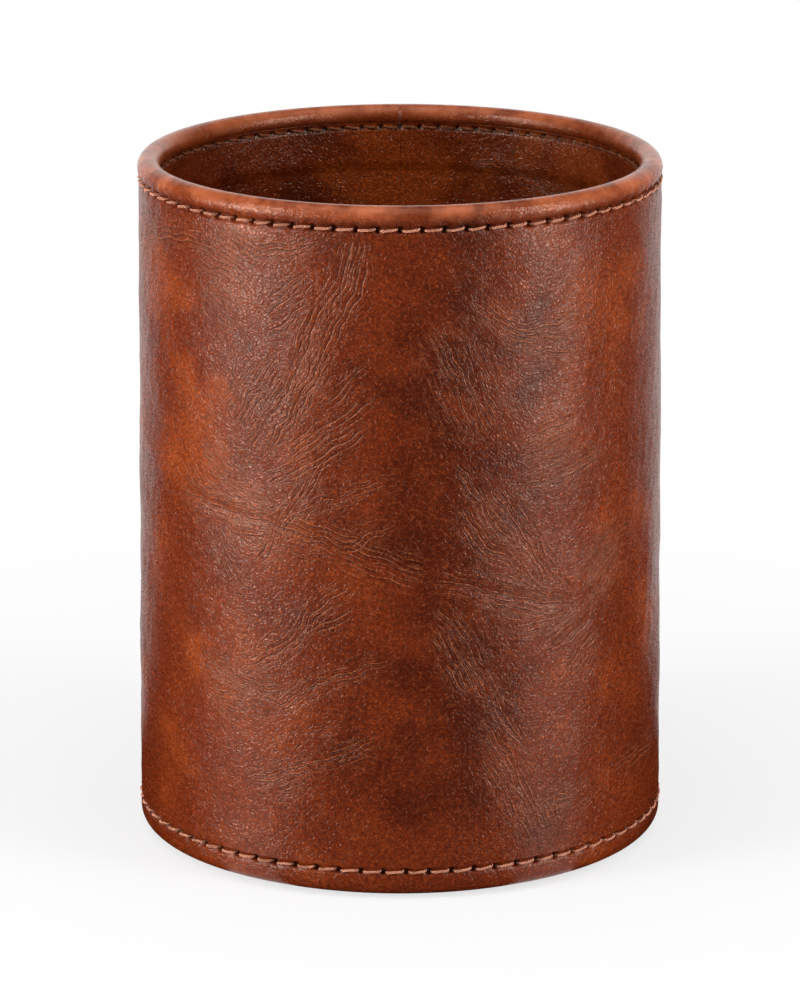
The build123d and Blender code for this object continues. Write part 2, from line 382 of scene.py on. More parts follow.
# Creases: each has its run of points on the leather, mm to the right of the front's middle and mm above the
# table, then half the width of its main bundle of lines and its depth
CREASES = (
    # Steep lines that come down from the rim, left of the middle
    (((-6.5, 103), (-9, 93.5), (-13.5, 88.5), (-14, 84.5), (-17.5, 77), (-24.5, 67)), 0.9, 1.0),
    (((-5, 103), (-6.5, 93.5), (-9, 89), (-11, 85), (-14, 79), (-17, 73.5), (-21.5, 66.5)), 0.9, 0.9),
    (((-10, 84), (-13, 79), (-15, 75.5), (-17.5, 71)), 0.9, 0.8),
    (((-12, 92.5), (-16, 90.5), (-17.5, 88), (-21.5, 85.5)), 0.9, 0.9),
    (((-11.5, 101.5), (-14, 100), (-19, 97.5)), 0.9, 0.6),
    (((-12.5, 96), (-14.5, 95.5), (-19, 91.5), (-22.5, 87.5)), 0.9, 0.8),
    (((-4, 83.5), (-6.5, 81), (-10.5, 77), (-12.5, 74.5)), 0.9, 0.7),
    (((-3, 78.5), (-7.5, 74.5), (-11.5, 72), (-18.5, 66.5)), 0.9, 0.8),
    (((-18, 84), (-21, 80), (-25, 74), (-28, 70)), 2.4, 0.5),
    # Wavy lines that fan out under the rim, to the left
    (((-31, 101.5), (-29.5, 100), (-26.5, 99), (-23, 98), (-19, 97.5)), 1.2, 0.8),
    (((-35.5, 98), (-32, 96.5), (-27, 95), (-22.5, 93)), 1.8, 0.8),
    (((-28, 101), (-25, 99.5), (-19, 98.5), (-16, 99), (-9.5, 102)), 0.9, 0.7),
    (((-36, 92), (-32, 90), (-28, 87.5), (-24, 86)), 1.8, 0.5),
    # The long lines that cross left of the middle
    (((-4, 74), (-7.5, 71.5), (-10.5, 69), (-16, 66), (-22, 62.5)), 0.9, 1.0),
    (((-11, 69), (-14, 64), (-16.5, 60), (-18.5, 57), (-20, 53.5), (-22.5, 49.5)), 0.9, 1.0),
    (((-18.5, 57.5), (-12.5, 61), (-6.5, 63.5), (0.5, 65.5)), 0.9, 1.0),
    # The deep bundle from the left edge to the middle, and the lines that run into it
    (((-39, 60), (-34, 58.5), (-27.5, 58), (-21, 57.5), (-16, 56.5), (-10.5, 55.5), (-4.5, 53.5), (4.5, 50)),
     1.5, 1.4),
    (((-31, 62), (-26, 60.5), (-22, 59), (-18, 57)), 1.2, 1.0),
    (((-34, 68.5), (-30.5, 65), (-24.5, 61), (-19.5, 60)), 0.9, 0.9),
    (((-31.5, 70), (-28.5, 68.5), (-22.5, 65)), 0.9, 0.9),
    (((-32.5, 56), (-26, 55), (-22.5, 55), (-18.5, 56)), 0.9, 0.9),
    (((-32.5, 54), (-29.5, 52), (-26, 47), (-24.5, 45.5)), 0.9, 0.8),
    (((0.5, 59), (-5, 57), (-7, 55), (-10.5, 54.5)), 0.9, 0.8),
    (((0.5, 64), (-2, 62), (-4, 60.5)), 0.9, 0.5),
    # Lower left
    (((-6.5, 50), (-13, 44.5), (-15, 41), (-17.5, 38.5), (-20.5, 36.5), (-26, 34)), 0.9, 0.9),
    (((-6, 45.5), (-10.5, 43.5), (-15, 40.5)), 0.9, 0.8),
    (((-35, 35), (-29.5, 33), (-24.5, 31.5), (-16.5, 31)), 0.9, 1.0),
    (((-24.5, 31.5), (-22.5, 29.5), (-20, 27.5)), 0.9, 0.8),
    (((-32.5, 30.5), (-26.5, 29), (-22, 27)), 1.8, 0.8),
    (((-20.5, 27), (-16.5, 30), (-14, 32), (-10, 34.5), (-1, 38)), 0.9, 1.0),
    (((-25, 16.5), (-19, 18.5), (-14, 20.5), (-8.5, 22.5), (-2.5, 25.5)), 0.9, 1.0),
    (((-20.5, 15), (-18.5, 15.5), (-12.5, 18.5)), 0.9, 0.8),
    (((-15.5, 25), (-12, 26), (-8.5, 28)), 0.9, 0.6),
    # Wavy lines, upper right
    (((9.5, 92.5), (12, 90.5), (17.5, 87), (20.5, 86.5), (29.5, 87.5)), 0.9, 0.9),
    (((13.5, 90.5), (16, 88), (17.5, 86), (22, 85), (29, 84.5)), 0.9, 0.8),
    (((18, 84), (21, 82.5), (24.5, 83), (29, 82)), 0.9, 0.7),
    (((4, 90), (8, 84), (11, 76), (14, 70)), 2.4, 0.45),
    # Right of the middle: one family rises to the right and another falls
    (((17, 69.5), (20, 70.5), (29.5, 72.5)), 0.9, 1.1),
    (((17, 67), (24, 69), (29, 70.5)), 0.9, 1.1),
    (((17.5, 65), (24.5, 66.5), (29.5, 68.5)), 0.9, 1.1),
    (((17.5, 63), (25.5, 64), (31.5, 65.5), (34.5, 67)), 0.9, 1.1),
    (((24.5, 49), (28.5, 49), (34.5, 51.5), (39.5, 55)), 0.9, 0.6),
    (((8, 68), (12, 62.5), (14, 58), (16, 55.5), (20.5, 52.5)), 0.9, 1.1),
    (((13, 64), (16.5, 59.5), (20, 54), (24.5, 47)), 1.5, 1.1),
    (((8.5, 62), (10.5, 57.5), (13, 54), (19, 50.5)), 0.9, 1.1),
    # The bundle that runs to a knot on the right, and the lines that leave the knot
    (((4.5, 50), (11, 48.5), (18, 46), (23.5, 44.5), (30, 43)), 1.3, 1.4),
    (((12, 50.5), (18.5, 49), (20.5, 47.5), (25, 44.5)), 0.9, 1.2),
    (((12, 48), (15, 45), (19.5, 44), (25.5, 42)), 0.9, 1.15),
    (((15.5, 41.5), (20, 41.5), (27.5, 42), (30, 43)), 0.9, 1.15),
    (((30, 43), (33, 45), (36, 47), (41, 50.5)), 1.4, 1.1),
    (((29.5, 46.5), (34.5, 50), (37, 51.5), (44, 53.5)), 1.4, 1.0),
    (((30, 42.5), (27, 41.5), (21.5, 39)), 0.9, 1.1),
    (((32, 41), (28.5, 39.5), (23, 36.5)), 0.9, 1.1),
    (((34.5, 39.5), (31, 37), (25, 33)), 1.8, 1.0),
    # Long lines that fall to the right, down to the foot
    (((4.5, 46.5), (8, 42.5), (10, 39.5), (11.5, 36), (14.5, 30), (20, 22)), 0.9, 1.1),
    (((4.5, 44), (7.5, 38), (11, 30.5)), 0.9, 0.8),
    (((11, 28.5), (14.5, 24.5), (18.5, 17.5), (22, 10), (23.5, 8)), 0.9, 1.0),
    (((12, 23.5), (15, 18), (18, 12.5), (21, 6)), 0.9, 0.8),
    (((22, 15.5), (24.5, 10), (26, 7)), 0.9, 0.6),
    (((20.5, 13), (23, 13.5), (30.5, 13.5)), 0.9, 0.8),
)
LINE_SPACING = 0.85
# Fine lines run beside the main ones, so a crease is wider than its half width by this factor.
STRIP_SPREAD = 1.7
# A point carries one crease of each layer, so creases that cross lie in different layers.
LAYERS = 4
# Beside its lines the grain itself is drawn out along a crease, over this many half widths.
HALO = 2.0
# The sides and the back, which the photo doesn't show, are creased by chance in the same manner.
HIDDEN_CREASES = 26
CHANCE_STEP = 6.0
# A crease fades in and out over this length, and wanders by this much to either side.
CREASE_END = 7.0
CREASE_WANDER = 0.15
# A line is a low ridge cut by a valley. A deep crease also folds the leather down in its middle, with a lip
# on either side.
LINE_RIDGE = 0.008
LINE_VALLEY = 0.02
FOLD_VALLEY = 0.036
FOLD_LIP = 0.014
FOLD_LIP_PLACE = 1.7
FOLD_WIDTH = 0.8

# Dark and light patches of the leather: place, radius and tone, where -1 is darkest and 1 lightest
PATCHES = (
    ((-30.5, 86), 7, -1.0), ((7.5, 80), 11, -1.0), ((12, 97), 7, -0.5), ((3.5, 56), 9, -0.8),
    ((-34.5, 41), 7, -0.9), ((6.5, 28), 9, -0.7), ((46, 21), 6, -0.6), ((13, 38), 8, -0.6),
    ((-28, 14), 8, -0.4), ((30, 56), 6, -0.3), ((-8, 44), 7, -0.2), ((22, 80), 9, 0.5),
    ((-38.5, 73), 8, 0.5), ((-33.5, 65), 7, 0.5), ((0, 90), 6, 0.7), ((-4, 63), 7, 0.7),
    ((38.5, 90), 9, 0.7), ((39, 54), 9, 0.8), ((-35.5, 31), 8, 0.6), ((-4, 48), 6, 0.7),
    ((36, 30), 7, 0.5), ((-20, 10), 8, 0.4), ((-48, 90), 8, 0.6), ((20, 44), 5, 0.4), ((23, 89), 7, 0.5),
)
PATCH_SHARE = 0.75
PATCH_DRIFT = 2.6
# Painted shade and light on the front: darker down its middle, where the side lamps light it least, and
# lighter
# to the left: place, half width and tone
PAINTED_FRONT_SHADING = ((4.5, 15, -0.55), (-30, 17, 0.3))


def softened(points):
    """A line of points with its corners cut twice."""
    points = np.array(points, float)
    for _ in range(2):
        near, far = points[:-1] * 0.75 + points[1:] * 0.25, points[:-1] * 0.25 + points[1:] * 0.75
        points = np.concatenate([points[:1], np.stack([near, far], 1).reshape(-1, 2), points[-1:]])
    return spaced(points, 0.5)


WANDER = ripples(11, 24, 3.5, 14.0)


def layered(creases):
    """Shares creases out to layers, so that those of a layer lie as clear of each other as can be."""
    made = [[] for _ in range(LAYERS)]
    for crease in creases:
        line = softened(crease[0])
        room = []
        for layer in made:
            gaps = [np.linalg.norm(line[:, None] - softened(other[0])[None], axis=-1).min() - other[1]
                    for other in layer]
            room.append(min(gaps, default=math.inf))
        made[int(np.argmax(room))].append(crease)
    return made


def strand_layer(across, along, creases):
    """For each point its line number, mm along the crease and strength, and the leather's own rise."""
    strands = np.zeros(across.shape + (3,))
    rise = np.zeros(across.shape)
    for points, narrow_half, depth in creases:
        half = narrow_half * STRIP_SPREAD
        line = softened(points)
        runs = run_along(line)
        reach = half * (1 + HALO)
        low, high = line.min(0) - reach, line.max(0) + reach
        near = (across > low[0]) & (across < high[0]) & (along > low[1]) & (along < high[1])
        places = np.stack([across[near], along[near]], -1)
        offsets = places[:, None, :] - line[None, :, :]
        nearest = np.argmin((offsets ** 2).sum(-1), 1)
        offset = offsets[np.arange(len(places)), nearest]
        facing = facing_along(line)[nearest]
        aside = facing[:, 0] * offset[:, 1] - facing[:, 1] * offset[:, 0]
        run = runs[nearest] + (facing * offset).sum(-1)
        ends = smooth(run / CREASE_END + 0.25) * smooth((runs[-1] - run) / CREASE_END + 0.25)
        aside = aside + CREASE_WANDER * WANDER(places[:, 0], places[:, 1])
        bundle = smooth(1.3 - np.abs(aside) / half)
        strength = ends * (0.5 * depth * bundle + 0.5 * smooth((reach - np.abs(aside)) / (reach - half)))
        number = aside / LINE_SPACING
        better = strength > strands[near][:, 2]
        values = np.stack([number, run, strength], -1)
        strands[near] = np.where(better[:, None], values, strands[near])
        valley = (0.5 + 0.5 * np.cos(2 * math.pi * number)) ** 2
        folded = FOLD_LIP * np.exp(-((np.abs(aside) - FOLD_LIP_PLACE) / FOLD_WIDTH) ** 2)
        folded -= FOLD_VALLEY * np.exp(-(aside / FOLD_WIDTH) ** 2)
        rise[near] += ends * (bundle * depth * (LINE_RIDGE - LINE_VALLEY * valley) + depth ** 4 * folded)
    return strands, rise


def creased(across, along, creases, shown):
    """The leather's rise over creases in their layers, and what its points carry of them where they show."""
    rise, carried_lines = np.zeros(across.shape), {}
    for number, layer in enumerate(creases):
        strands, relief = strand_layer(across, along, layer)
        strands[..., 2] *= shown
        rise += relief
        carried_lines[f"crease_{number}"] = strands
    return rise, carried_lines


def by_chance(seed, count, left, right):
    """Creases for a stretch of leather that the photo doesn't show."""
    random = np.random.default_rng(seed)
    made = []
    for _ in range(count):
        x, z = random.uniform(left, right), random.uniform(12, 92)
        heading, bend = random.uniform(0, math.pi), random.uniform(-0.18, 0.18)
        points = [(x, z)]
        for _ in range(int(random.uniform(3, 7))):
            x, z = x + CHANCE_STEP * math.cos(heading), z + CHANCE_STEP * math.sin(heading)
            heading += bend
            points.append((x, z))
        made.append((points, random.choice((0.9, 0.9, 0.9, 1.5, 2.4)), random.uniform(0.5, 1.0)))
    return made


front_half = math.radians(72) * GIRTH_RADIUS
seam_half = math.radians(176) * GIRTH_RADIUS
hidden = by_chance(5, HIDDEN_CREASES, front_half, seam_half)
hidden += by_chance(6, HIDDEN_CREASES, -seam_half, -front_half)
cover_creases = layered(list(CREASES) + hidden)
SWELLS = ripples(3, 30, 9.0, 32.0)
DIMPLES = ripples(4, 40, 2.2, 6.0)
BEAD_WRINKLES = ripples(8, 40, 0.8, 2.4)
MOTTLE = ripples(21, 40, 9.0, 30.0)
DRIFT = (ripples(22, 30, 5.0, 22.0), ripples(23, 30, 5.0, 22.0))
SWELL_RISE = 0.06
DIMPLE_RISE = 0.016
# A needle hole: its half width and half height, the half height of the painted shade in it, its depth, how
# far its middle lies above the row, and the wider hollow that the pull of the thread leaves round it
HOLE_WIDTH = 0.5
HOLE_HEIGHT = 0.34
HOLE_SHADE_HEIGHT = 0.36
HOLE_DEPTH = 0.75
HOLE_ABOVE_ROW = 0.03
PINCH_DEPTH = 0.1
PINCH_WIDTH = 0.9
PINCH_HEIGHT = 1.1
WRINKLE_RISE = 0.02
TUCK_DEPTH = 0.05
SEAM_DEPTH = 0.16
SEAM_WIDTH = 0.14
# Along the leather, creases stop short of the bead, and past the top of the core it turns inwards.
CREASES_END = 103.0
outside_end = core_top + 3


def pitch_of(count):
    """Distance between the needle holes of a row."""
    return 2 * math.pi * GIRTH_RADIUS / count


def to_hole(across, count, turn):
    """Distance along the row to the nearest needle hole."""
    pitch = pitch_of(count)
    start = math.radians(turn) * GIRTH_RADIUS
    return (across - start + pitch / 2) % pitch - pitch / 2


def hole_places(across, z):
    """For each row, how far points lie from the nearest needle hole along the row, and above the row."""
    return [(to_hole(across, count, turn), z - row) for row, count, turn in STITCH_ROWS]


def to_seam(across):
    """Distance round the pot to the seam."""
    return math.pi * GIRTH_RADIUS - np.abs(across)


def off_seam(across):
    """1 away from the seam and 0 at it, where the tone of both ends was matched."""
    return smooth(to_seam(across) / 10)


def patched(patches, across, along):
    """Tone of patches at a place."""
    return sum(value * np.exp(-((across - x) ** 2 + (along - level) ** 2) / radius ** 2)
               for (x, level), radius, value in patches)


def cover_surface(across, along, z):
    """Lift of the cover's front, in mm, and the values that its points carry."""
    outside = along < outside_end
    on_wall = smooth((along - fold_z) / 3) * smooth((rim_row - 0.4 - z) / 3)
    on_wall = on_wall * (along < CREASES_END) * (1 - 0.8 * np.exp(-((z - base_row) / 1.2) ** 2))
    shown = smooth((rim_row - 0.6 - z) / 1.5) * smooth((z - base_row - 0.6) / 1.5) * (along < CREASES_END)
    relief, lines = creased(across, along, cover_creases, shown)
    rise = on_wall * (SWELL_RISE * SWELLS(across, along) + DIMPLE_RISE * DIMPLES(across, along) + relief)
    # painted_hole_shade is painted shade in each needle hole, carried as the hole value.
    painted_hole_shade = np.zeros(across.shape)
    for hole, level in hole_places(across, z):
        wide, high = hole / HOLE_WIDTH, level - HOLE_ABOVE_ROW
        pit = np.exp(-(wide ** 2 + (high / HOLE_HEIGHT) ** 2) ** 1.5)
        pinch = np.exp(-(hole / PINCH_WIDTH) ** 2 - (level / PINCH_HEIGHT) ** 2)
        rise -= outside * (HOLE_DEPTH * pit + PINCH_DEPTH * pinch * np.where(level > 0, 1.3, 1.0))
        painted_hole_shade += outside * np.exp(-(wide ** 2 + (high / HOLE_SHADE_HEIGHT) ** 2) ** 2)
    on_bead = smooth((z - bead_foot_z) / 0.8) * smooth((core_top + 5 - along) / 2)
    tuck = np.cos(2 * math.pi * to_hole(across, RIM_STITCHES, RIM_TURN) / pitch_of(RIM_STITCHES))
    foot = np.exp(-((z - bead_foot_z - 0.35) / 0.55) ** 2) * outside * (z > rim_row)
    below_crest = 1 - 0.7 * smooth((z - bead_z) / 1.2)
    wrinkled = np.minimum(BEAD_WRINKLES(across, along * 0.25), 1.0) - 1.0
    rise += WRINKLE_RISE * on_bead * below_crest * wrinkled - TUCK_DEPTH * foot * tuck
    rise -= SEAM_DEPTH * np.exp(-(to_seam(across) / SEAM_WIDTH) ** 2) * (1 - on_bead)
    drift_across = across + PATCH_DRIFT * DRIFT[0](across, along)
    drift_along = along + PATCH_DRIFT * DRIFT[1](across, along)
    toned = PATCH_SHARE * patched(PATCHES, drift_across, drift_along)
    # Painted shade and light across the front
    for x, half, value in PAINTED_FRONT_SHADING:
        toned += value * np.exp(-((drift_across - x) / half) ** 2)
    on_front = 1 - smooth((np.abs(across) - 50) / 12)
    tone = 0.22 * MOTTLE(across, along) * off_seam(across) + toned * on_front
    # foot_shade is painted shade in the groove under the bead's foot, carried with the holes.
    foot_shade = np.exp(-((along - bead_foot_z) / 0.3) ** 2) * 0.3
    # The bead's upper part, where the colour pales with wear and with a painted highlight
    crest = smooth((z - bead_z + 1.0) / 2.4)
    return rise, {"tone": tone, "hole": np.clip(painted_hole_shade + foot_shade, 0, 1), "crest": crest, **lines}


def group_of(name, inputs, outputs):
    """An empty shader group with named sockets. Gives the group and the nodes of its inputs and outputs."""
    tree = bpy.data.node_groups.new(name, "ShaderNodeTree")
    for title, kind in inputs:
        tree.interface.new_socket(title, in_out="INPUT", socket_type="NodeSocket" + kind)
    for title, kind in outputs:
        tree.interface.new_socket(title, in_out="OUTPUT", socket_type="NodeSocket" + kind)
    return tree, tree.nodes.new("NodeGroupInput").outputs, tree.nodes.new("NodeGroupOutput").inputs


def grouped(tree, group, inputs):
    """Places a shader group in a material."""
    made = tree.nodes.new("ShaderNodeGroup")
    made.node_tree = group
    feed(tree, made, inputs)
    return made.outputs


def shifted(tree, place, scale, shift):
    """A place scaled along each axis, plus a shift."""
    inputs = {0: place, 1: scale, 2: shift}
    return put(tree, "VectorMath", inputs, operation="MULTIPLY_ADD").outputs[0]


# Grain: small cells with narrow valleys between them, scattered specks, and worm-like ridges. The leather's
# colour is darkened in the specks and valleys, the valleys as painted shade, and paled on the ridges, partly
# as rubbed wear and partly as a painted highlight. Its place on the leather is in mm.
grain, given, put_out = group_of("leather_grain", [("Skin", "Vector"), ("Cell", "Float")],
                                 [("Height", "Float"), ("Pale_ridges", "Float"), ("Pits", "Float")])
sway = put(grain, "TexNoise", {"Vector": given["Skin"], "Scale": 0.8, "Detail": 1.0}).outputs["Color"]
sway = put(grain, "VectorMath", {0: sway, 1: (0.5, 0.5, 0.5)}, operation="SUBTRACT").outputs[0]
swayed = shifted(grain, sway, (0.7, 0.7, 0.0), given["Skin"])
finer = sums(grain, "DIVIDE", 1.0, given["Cell"])
cells = put(grain, "TexVoronoi", {"Vector": swayed, "Scale": finer, "Randomness": 1.0},
            feature="DISTANCE_TO_EDGE").outputs["Distance"]
plateau = eased(grain, cells, 0.0, 0.2)
ridges = off_by(grain, noise(grain, swayed, scale=1.15, detail=0.6), 0.5)
broken = eased(grain, noise(grain, given["Skin"], scale=1.1, detail=1.0), 0.35, 0.6, 0.35, 1.0)
worms = times(grain, broken, eased(grain, ridges, 0.0, 0.1, 1.0, 0.0))
specks = eased(grain, noise(grain, given["Skin"], scale=1.7, detail=1.0, roughness=0.6), 0.48, 0.64)
valleys = eased(grain, cells, 0.03, 0.15, 0.8, 0.0)
grain.links.new(sums(grain, "MULTIPLY_ADD", plateau, 0.35, times(grain, worms, 0.65)), put_out["Height"])
grain.links.new(times(grain, worms, plateau), put_out["Pale_ridges"])
grain.links.new(sums(grain, "MAXIMUM", specks, valleys), put_out["Pits"])

# Crease: of the numbered lines in a crease, each comes and goes by itself along the crease, the main one
# least. A line is a dark valley, painted shade, with a paler edge beside it, a painted highlight, broken in
# places. Beyond the lines the grain is drawn out along the crease in faint folds, with painted shade in them
# and painted highlights on their lips.
crease, given, put_out = group_of("leather_crease", [("Skin", "Vector"), ("Strand", "Vector")],
                                  [("Valley", "Float"), ("Edge", "Float")])
strand = put(crease, "SeparateXYZ", {0: given["Strand"]}).outputs
line, run, strength = strand["X"], strand["Y"], strand["Z"]
jog = sums(crease, "SUBTRACT", noise(crease, given["Skin"], scale=0.8, detail=3.0, roughness=0.65), 0.5)
number = sums(crease, "MULTIPLY_ADD", jog, 0.34, line)
whole = sums(crease, "ROUND", number)
aside = sums(crease, "SUBTRACT", number, whole)
main_line = sums(crease, "LESS_THAN", sums(crease, "ABSOLUTE", whole), 0.5)
own_place = put(crease, "CombineXYZ", {"Z": times(crease, whole, 7.3)}).outputs[0]
own_place = shifted(crease, given["Skin"], (0.3, 0.3, 0.0), own_place)
comes = noise(crease, own_place, scale=1.0, detail=2.0, roughness=0.6)
comes = sums(crease, "MULTIPLY_ADD", main_line, 0.14, comes)
there = times(crease, eased(crease, comes, 0.38, 0.54), eased(crease, strength, 0.3, 0.75))
dark = eased(crease, sums(crease, "ABSOLUTE", aside), 0.03, 0.15, 1.0, 0.0)
edge_breaks = eased(crease, noise(crease, given["Skin"], scale=1.6, detail=1.0), 0.38, 0.58, 0.25, 1.0)
pale = times(crease, eased(crease, off_by(crease, aside, 0.21), 0.02, 0.14, 1.0, 0.0), edge_breaks)
beside = sums(crease, "MULTIPLY_ADD", jog, 0.7, times(crease, line, 1.15))
drawn = put(crease, "CombineXYZ", {"X": times(crease, run, 0.28), "Y": beside}).outputs[0]
folds = sums(crease, "SUBTRACT", noise(crease, drawn, scale=1.0, detail=2.0, roughness=0.6), 0.5)
halo = times(crease, eased(crease, strength, 0.05, 0.6), 0.32)
fold = times(crease, eased(crease, sums(crease, "ABSOLUTE", folds), 0.0, 0.08, 1.0, 0.0), halo)
lip = times(crease, eased(crease, off_by(crease, folds, 0.1), 0.0, 0.06, 0.6, 0.0), halo)
crease.links.new(sums(crease, "MAXIMUM", times(crease, dark, there), fold), put_out["Valley"])
crease.links.new(sums(crease, "MAXIMUM", times(crease, pale, there), lip), put_out["Edge"])

# Mottle: the waxed dye, cloudy in patches of about a centimetre and in spots of about a millimetre, in three
# tones. Its place is in metres.
mottle, given, put_out = group_of(
    "leather_mottle",
    [("Place", "Vector"), ("Tone", "Float"), ("Dark", "Color"), ("Middle", "Color"), ("Light", "Color")],
    [("Color", "Color")])
broad = sums(mottle, "SUBTRACT", noise(mottle, given["Place"], scale=90.0, detail=4.0, roughness=0.6), 0.5)
spots = sums(mottle, "SUBTRACT", noise(mottle, given["Place"], scale=900.0, detail=3.0, roughness=0.65), 0.5)
tone = sums(mottle, "MULTIPLY_ADD", broad, 1.1, sums(mottle, "MULTIPLY_ADD", spots, 1.3, given["Tone"]))
colour = mixed(mottle, eased(mottle, tone, -1.2, 0.0), given["Dark"], given["Middle"])
colour = mixed(mottle, eased(mottle, tone, 0.0, 1.1), colour, given["Light"])
mottle.links.new(colour, put_out["Color"])

# Painted shade in the needle holes and under the bead
PAINTED_HOLE_SHADE = (0.006, 0.002, 0.001)
# Painted shade in the grain's valleys and the crease lines, and the colour of scattered dark specks
PORE_AND_VALLEY_SHADE = (0.035, 0.003, 0.0005)
TONES = {
    "Dark": (0.075, 0.0075, 0.0008, 1),
    "Middle": (0.165, 0.02, 0.002, 1),
    "Light": (0.31, 0.05, 0.005, 1),
}
# Pale ridges of the grain: partly rubbed wear, partly a painted highlight
RIDGE_WEAR_AND_HIGHLIGHT = (0.38, 0.08, 0.016)
# Painted highlight on the paler edges of the crease lines and the lips of their folds
CREASE_HIGHLIGHT = (0.46, 0.14, 0.055)
# The bead's crest, paler with wear and with a painted highlight of the light from above
CREST_WEAR_AND_HIGHLIGHT = (0.52, 0.14, 0.055)
WAX_TINT = (1.0, 0.78, 0.66, 1.0)


def leather(name, cell, relief, ridge_paling, gloss):
    """Waxed leather, with the size of its grain in mm, its relief in mm, the strength of its pale ridges,
    partly rubbed wear and partly painted highlight, and its gloss. The crest of the bead is quieter in grain
    and smoother, and paler with wear and with a painted highlight."""
    material, tree, shader = finish_of(name, {"Specular IOR Level": gloss, "Specular Tint": WAX_TINT})
    skin, place, crest = carried(tree, "skin", "Vector"), place_on(tree), carried(tree, "crest")
    grained = grouped(tree, grain, {"Skin": skin, "Cell": cell})
    valley = edge = 0.0
    for number in range(LAYERS):
        lines = grouped(tree, crease, {"Skin": skin, "Strand": carried(tree, f"crease_{number}", "Vector")})
        valley = sums(tree, "MAXIMUM", valley, lines["Valley"])
        edge = sums(tree, "MAXIMUM", edge, lines["Edge"])
    quiet = sums(tree, "MULTIPLY_ADD", crest, -0.55, 1.0)
    worn = eased(tree, noise(tree, place, scale=160.0, detail=3.0, roughness=0.65), 0.32, 0.65, 0.15, 0.85)
    colour = grouped(tree, mottle, {"Place": place, "Tone": carried(tree, "tone"), **TONES})["Color"]
    # Over the mottled tones go painted light and shade: shade in the grain's valleys, the crease lines and
    # the needle holes, and highlights on the ridges, the crease edges and the bead's crest.
    for share, shade in ((times(tree, grained["Pits"], times(tree, quiet, 0.6)), PORE_AND_VALLEY_SHADE),
                         (times(tree, grained["Pale_ridges"], times(tree, quiet, ridge_paling)), RIDGE_WEAR_AND_HIGHLIGHT),
                         (times(tree, valley, 0.92), PORE_AND_VALLEY_SHADE),
                         (times(tree, edge, 0.55), CREASE_HIGHLIGHT),
                         (times(tree, crest, worn), CREST_WEAR_AND_HIGHLIGHT),
                         (carried(tree, "hole"), PAINTED_HOLE_SHADE)):
        colour = mixed(tree, share, colour, shade)
    rough = sums(tree, "MULTIPLY_ADD", sums(tree, "MAXIMUM", grained["Pits"], valley), 0.08, 0.25)
    rough = sums(tree, "MULTIPLY_ADD", crest, -0.1, rough)
    feed(tree, shader, {"Base Color": colour, "Roughness": rough})
    height = times(tree, times(tree, grained["Height"], quiet), relief)
    height = sums(tree, "MULTIPLY_ADD", valley, -0.05, height)
    height = sums(tree, "MULTIPLY_ADD", edge, 0.02, height)
    raised(tree, shader, height, MM)
    return material


cover_leather = leather("cover_leather", cell=0.55, relief=0.058, ridge_paling=0.28, gloss=0.4)
wrapped("cover_strip", cover_face, cover_back, cover_surface, cover_leather, "outer_cover")


# Lining
# One strip of thinner leather of the same hide, glued inside the core and over the turned-in edge, and tucked
# up under the bead. Its ends meet at the back, where a faint upright line shows.

LINING = 0.5
LINING_GROOVE = 0.12
LINING_GROOVE_HALF = 0.65
LINING_RAMP = 1.5
LINING_SWELL_RISE = 0.05
LINING_DIMPLE_RISE = 0.02
LINING_HOLE_DEPTH = 0.35
LINING_SEAM_DEPTH = 0.04

lining_low, lining_top = (corner[2] for corner in corners_of("lining"))


def lining_inside(z):
    """Inside of the lining, which steps in over the turned-in edge."""
    step = np.clip((z - (turn_in_end - GLUE - LINING_RAMP)) / LINING_RAMP, 0, 1) * (TURN_IN + GLUE)
    return wall(z) - COVER - GLUE - CORE - GLUE - LINING - step


lining_levels = levels(lining_low, (base_row - 0.8, 0.4), (base_row + 0.8, 0.2), (60, 1.2), (90, 0.7),
                       (rim_row - 0.8, 0.38), (lining_top - 0.1, 0.13))[::-1]


def lining_groove(z):
    """Depth of the grooves that the stitches draw into the lining."""
    share = sum(np.clip(1 - ((z - row) / LINING_GROOVE_HALF) ** 2, 0, 1) for row in (base_row, rim_row))
    return share * LINING_GROOVE


lining_face = np.concatenate([
    [(lining_inside(lining_top) + 0.15, lining_top), (lining_inside(lining_top) + 0.03, lining_top - 0.03)],
    np.stack([lining_inside(lining_levels) + lining_groove(lining_levels), lining_levels], -1),
])
lining_back = np.array([(lining_inside(z) + LINING, z) for z in (lining_low, 95.4, 97.0, lining_top)])
LINING_SWELLS = ripples(31, 30, 7.0, 26.0)
LINING_DIMPLES = ripples(32, 40, 1.8, 5.0)
LINING_MOTTLE = ripples(33, 40, 7.0, 26.0)
lining_creases = layered(by_chance(41, 36, -seam_half, seam_half))
# Painted light and shade on the far inside, beside the seam as seen from the front, lighter where light falls
# in over the rim: place, radius and tone
LINING_PAINTED_LIGHT_AND_SHADE = (((0, 92), 12, 1.0), ((-1, 84), 9, 0.8), ((-34, 90), 9, -0.4), ((32, 92), 15, 1.0))


